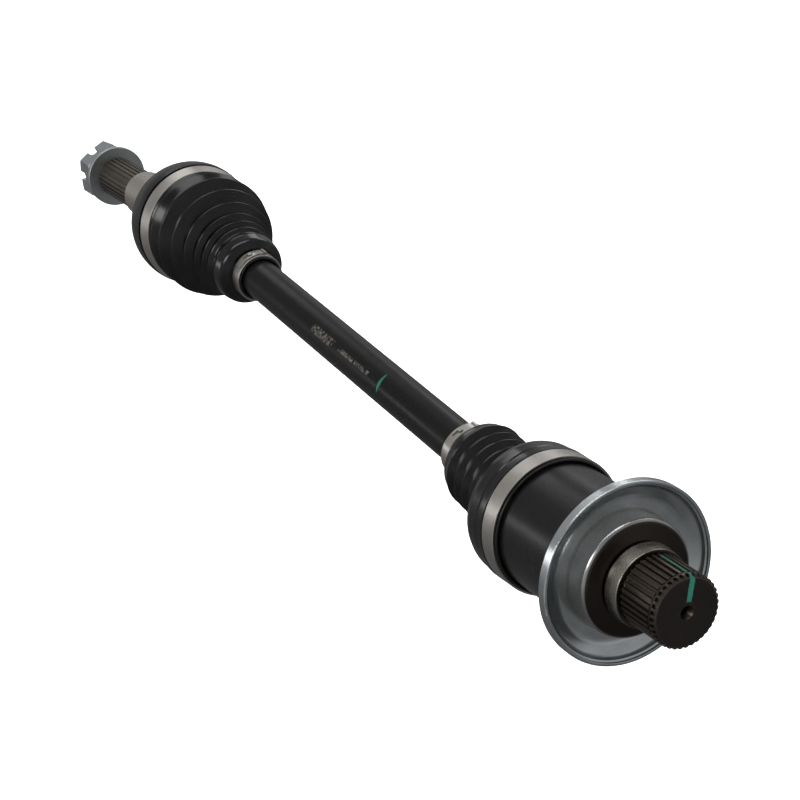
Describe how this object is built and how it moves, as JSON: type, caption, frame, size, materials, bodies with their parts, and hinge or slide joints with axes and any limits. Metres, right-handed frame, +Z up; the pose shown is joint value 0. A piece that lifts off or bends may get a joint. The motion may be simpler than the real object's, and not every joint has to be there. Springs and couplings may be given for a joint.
{
  "type": "constant velocity axle",
  "caption": "Half shaft with a fixed ball joint and a plunging ball joint, each under a clamped rubber boot, with splined stub ends, a dust shield and a castle nut.",
  "frame": {"origin": "on the floor that the axle lies on, under the middle of its bounding box", "axes": "+X along the bar from the gearbox end to the wheel end, +Z up; both joints bend about Y at rest, because the axle lies on its shield, boots and washer"},
  "size_m": [0.6843, 0.09, 0.091],
  "materials": {
    "black_bar": "satin black coating",
    "black_housing": "gloss black coating",
    "zinc_shield": "satin zinc",
    "spring_steel": "oiled dark spring steel",
    "ground_steel": "ground",
    "ball_steel": "polished",
    "boot_rubber": "smooth thermoplastic rubber",
    "stainless_band": "rolled stainless strip",
    "zinc_hardware": "dull zinc"
  },
  "bodies": {
    "gearbox_stub": {"inner_housing": "black_housing", "dust_shield": "zinc_shield", "stub_circlip": "spring_steel", "cup_retaining_ring": "spring_steel", "inner_boot_large_clamp": "stainless_band"},
    "plunge_unit": {"inner_boot": "boot_rubber"},
    "inner_cage_unit": {"inner_ball_cage": "ground_steel", "inner_balls": "ball_steel"},
    "bar": {"axle_shaft": "black_bar", "inner_race": "ground_steel", "inner_race_circlip": "spring_steel", "outer_race": "ground_steel", "outer_race_circlip": "spring_steel", "inner_boot_small_clamp": "stainless_band", "outer_boot_small_clamp": "stainless_band"},
    "outer_cage_unit": {"outer_ball_cage": "ground_steel", "outer_balls": "ball_steel"},
    "wheel_stub": {"outer_housing": "black_housing", "hub_washer": "zinc_hardware", "castle_nut": "zinc_hardware", "outer_boot_large_clamp": "stainless_band", "outer_boot": "boot_rubber"}
  },
  "joints": [
    {"name": "inner_plunge", "type": "slide", "parent": "gearbox_stub", "child": "plunge_unit", "axis": [0.9917, 0, -0.1288], "range_m": [-0.008, 0.0045], "deforming": ["inner_boot"]},
    {"name": "inner_bend", "type": "hinge", "parent": "plunge_unit", "child": "bar", "pos_m": [-0.2424, 0, 0.03954], "axis": [0, 1, 0], "range_deg": [-10.6, 25.4], "deforming": ["inner_boot"]},
    {"name": "inner_cage_tilt", "type": "hinge", "parent": "plunge_unit", "child": "inner_cage_unit", "pos_m": [-0.2424, 0, 0.03954], "axis": [0, 1, 0], "range_deg": [-5.4, 12.8]},
    {"name": "outer_bend", "type": "hinge", "parent": "bar", "child": "wheel_stub", "pos_m": [0.1801, 0, 0.03954], "axis": [0, 1, 0], "range_deg": [-47.2, 32.8], "deforming": ["outer_boot"]},
    {"name": "outer_cage_tilt", "type": "hinge", "parent": "bar", "child": "outer_cage_unit", "pos_m": [0.1801, 0, 0.03954], "axis": [0, 1, 0], "range_deg": [-23.7, 16.5]}
  ],
  "couplings": [
    {"joint": "inner_cage_tilt", "follows": "inner_bend", "ratio": 0.5},
    {"joint": "outer_cage_tilt", "follows": "outer_bend", "ratio": 0.5}
  ]
}
